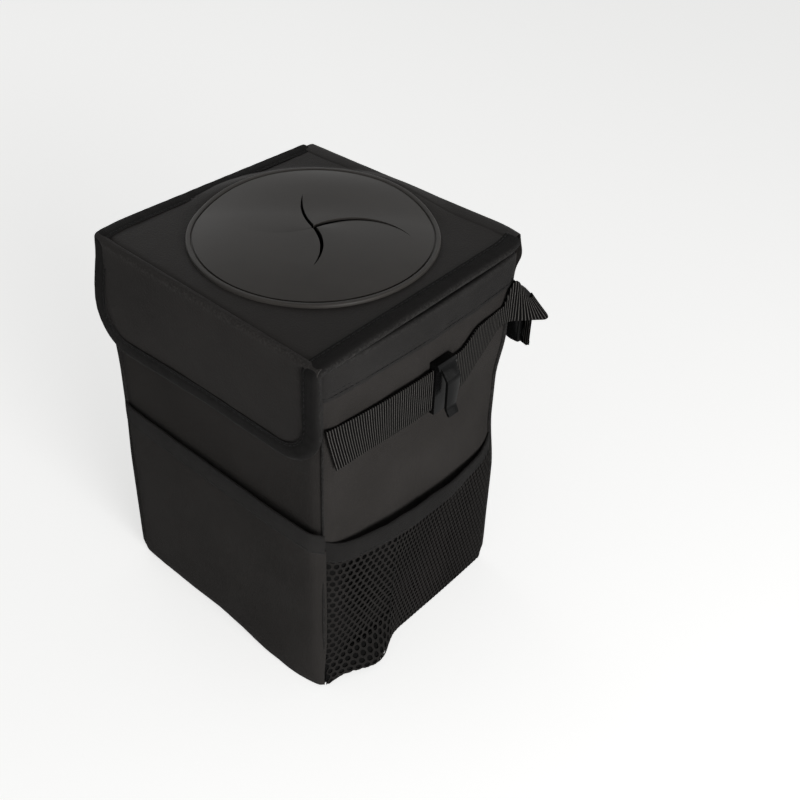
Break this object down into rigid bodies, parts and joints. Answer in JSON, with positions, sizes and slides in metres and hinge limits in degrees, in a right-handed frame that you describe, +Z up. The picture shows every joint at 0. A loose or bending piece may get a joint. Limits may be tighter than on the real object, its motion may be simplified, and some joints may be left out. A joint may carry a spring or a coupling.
{
  "type": "car trash bin",
  "caption": "Upright folding cloth bin for a car, with a hinged lid that has a slit rubber insert, a front flap, pockets, a buckled strap and bag hooks.",
  "frame": {"origin": "on the floor under the middle of the bin's base", "axes": "+Z up, the flap and front pocket face -Y, the lid hinge is at the back, +X is the bin's side that the picture shows"},
  "size_m": [0.2398, 0.2298, 0.2951],
  "materials": {
    "outer_cloth": "coarse black woven cloth with a dull coat",
    "stiff_board": "grey stiffening board",
    "lining_film": "smooth waterproof lining",
    "binding_tape": "grosgrain tape",
    "open_mesh": "knitted mesh with long holes",
    "webbing": "ribbed webbing",
    "moulded_plastic": "moulded black plastic",
    "closure_tape": "hook and loop closure tape",
    "soft_rubber": "matt moulded rubber"
  },
  "bodies": {
    "bin": {"bottom_panel": "outer_cloth", "bottom_board": "stiff_board", "front_panel": "outer_cloth", "front_board": "stiff_board", "back_panel": "outer_cloth", "back_board": "stiff_board", "left_side_panel": "outer_cloth", "right_side_panel": "outer_cloth", "left_side_boards": "stiff_board", "right_side_boards": "stiff_board", "liner": "lining_film", "rim_hem": "binding_tape", "corner_piping": "binding_tape", "front_pocket": "outer_cloth", "front_pocket_hem": "binding_tape", "left_mesh_pocket": "open_mesh", "right_mesh_pocket": "open_mesh", "left_mesh_hem": "binding_tape", "right_mesh_hem": "binding_tape", "left_strap": "webbing", "right_strap": "webbing", "buckle_socket": "moulded_plastic", "buckle_plug": "moulded_plastic", "front_loop_tape": "closure_tape"},
    "lid": {"lid_cover": "outer_cloth", "lid_board": "stiff_board", "lid_lining": "lining_film", "lid_binding": "binding_tape", "slit_insert": "soft_rubber"},
    "flap": {"flap_cover": "outer_cloth", "flap_board": "stiff_board", "flap_lining": "lining_film", "flap_binding": "binding_tape", "flap_hook_tape": "closure_tape"},
    "left_bag_hook": {"left_hook": "moulded_plastic"},
    "right_bag_hook": {"right_hook": "moulded_plastic"}
  },
  "joints": [
    {"name": "lid_hinge", "type": "hinge", "parent": "bin", "child": "lid", "pos_m": [0, 0.1019, 0.285], "axis": [-1, 0, 0], "range_deg": [0, 225]},
    {"name": "flap_hinge", "type": "hinge", "parent": "lid", "child": "flap", "pos_m": [0, -0.0948, 0.285], "axis": [-1, 0, 0], "range_deg": [0, 180]},
    {"name": "left_hook_slide", "type": "slide", "parent": "bin", "child": "left_bag_hook", "axis": [0, 1, 0], "range_m": [-0.008, 0.008]},
    {"name": "right_hook_slide", "type": "slide", "parent": "bin", "child": "right_bag_hook", "axis": [0, 1, 0], "range_m": [-0.008, 0.008]}
  ]
}
